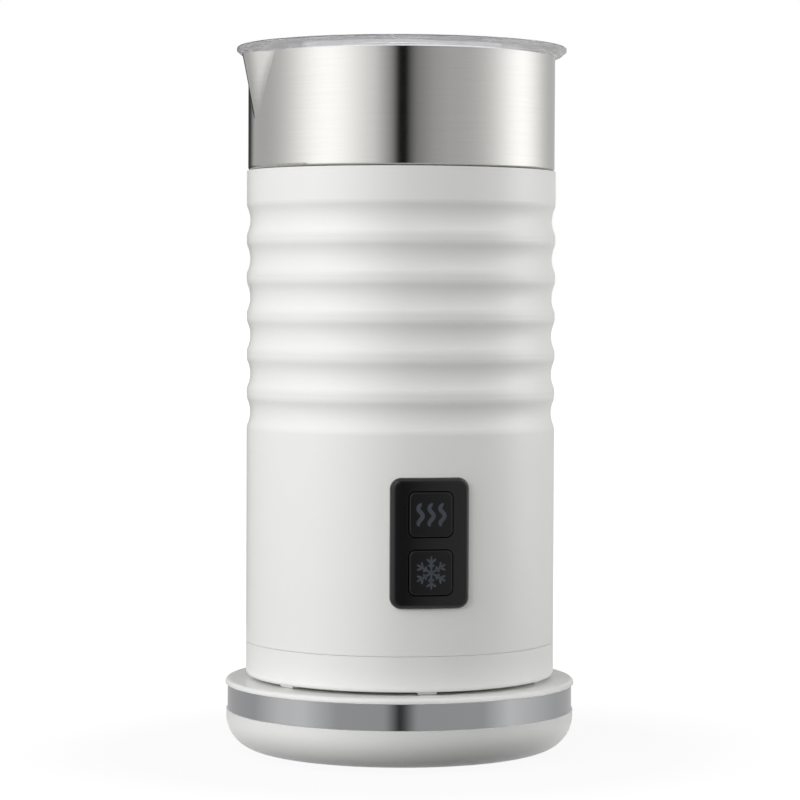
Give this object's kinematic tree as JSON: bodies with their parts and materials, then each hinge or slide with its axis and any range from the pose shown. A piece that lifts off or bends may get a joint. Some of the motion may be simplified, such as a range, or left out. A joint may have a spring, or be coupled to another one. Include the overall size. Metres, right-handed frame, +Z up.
{
  "type": "milk frother",
  "caption": "Cordless milk frother: a ribbed jug with a steel cup, clear lid, magnetic whisk and push buttons, on a round power base.",
  "frame": {"origin": "centre of the base at floor level, on the undersides of the rubber feet", "axes": "+Z up along the jug's axis, -Y towards the button panel, +Y towards the cord gland"},
  "size_m": [0.102, 0.102, 0.2051],
  "materials": {
    "white_plastic": "satin white moulded plastic",
    "steel": "brushed stainless steel",
    "bright_band": "bright metal trim",
    "black_plastic": "glossy black",
    "button_black": "satin black keycap",
    "clear_plastic": "clear moulded plastic",
    "rubber": "dark rubber",
    "seal": "translucent silicone",
    "black_moulding": "black moulding",
    "brass": "contact brass",
    "bronze": "sintered bronze",
    "aluminium": "plain aluminium",
    "chassis_plastic": "glass filled nylon",
    "screw_steel": "zinc plated screw",
    "motor_steel": "plated can",
    "board": "circuit board",
    "component": "moulded component",
    "magnet": "ferrite magnet",
    "whisk_plastic": "food grade black plastic"
  },
  "bodies": {
    "base": {"base_bowl": "white_plastic", "base_plate": "white_plastic", "base_band": "bright_band", "base_feet": "rubber", "base_screws": "screw_steel", "base_connector": "black_moulding", "base_contacts": "brass", "cord_gland": "rubber"},
    "jug": {"cup": "steel", "spindle_post": "steel", "outer_sleeve": "white_plastic", "sleeve_seal": "seal", "bottom_cover": "white_plastic", "cover_screws": "screw_steel", "diffuser_plate": "aluminium", "heating_element": "motor_steel", "thermostat": "black_moulding", "chassis": "chassis_plastic", "chassis_screws": "screw_steel", "motor_can": "motor_steel", "motor_end_cap": "black_moulding", "motor_bushes": "bronze", "motor_screws": "screw_steel", "power_board": "board", "board_screws": "screw_steel", "relay": "component", "filter_capacitor": "component", "switch_board": "board", "tact_switches": "black_moulding", "panel_housing": "black_moulding", "panel_bezel": "black_plastic", "jug_connector": "black_moulding", "jug_contacts": "brass"},
    "rotor": {"motor_shaft": "motor_steel", "armature": "motor_steel", "magnet_carrier": "chassis_plastic", "drive_magnets": "magnet"},
    "whisk": {"whisk_hub": "whisk_plastic", "whisk_coil": "steel", "whisk_magnets": "magnet"},
    "lid": {"lid": "clear_plastic", "lid_seal": "seal"},
    "hot_button": {"hot_button": "button_black"},
    "cold_button": {"cold_button": "button_black"}
  },
  "joints": [
    {"name": "jug_lift", "type": "slide", "parent": "base", "child": "jug", "axis": [0, 0, 1], "range_m": [0, 0.06]},
    {"name": "lid_lift", "type": "slide", "parent": "jug", "child": "lid", "axis": [0, 0, 1], "range_m": [0, 0.06]},
    {"name": "motor_spin", "type": "hinge", "parent": "jug", "child": "rotor", "pos_m": [0, 0, 0.078], "axis": [0, 0, 1], "continuous": true},
    {"name": "whisk_lift", "type": "slide", "parent": "rotor", "child": "whisk", "axis": [0, 0, 1], "range_m": [0, 0.05]},
    {"name": "hot_button_press", "type": "slide", "parent": "jug", "child": "hot_button", "axis": [0, 1, 0], "range_m": [0, 0.0008], "stiffness_N_per_m": 400},
    {"name": "cold_button_press", "type": "slide", "parent": "jug", "child": "cold_button", "axis": [0, 1, 0], "range_m": [0, 0.0008], "stiffness_N_per_m": 400}
  ]
}
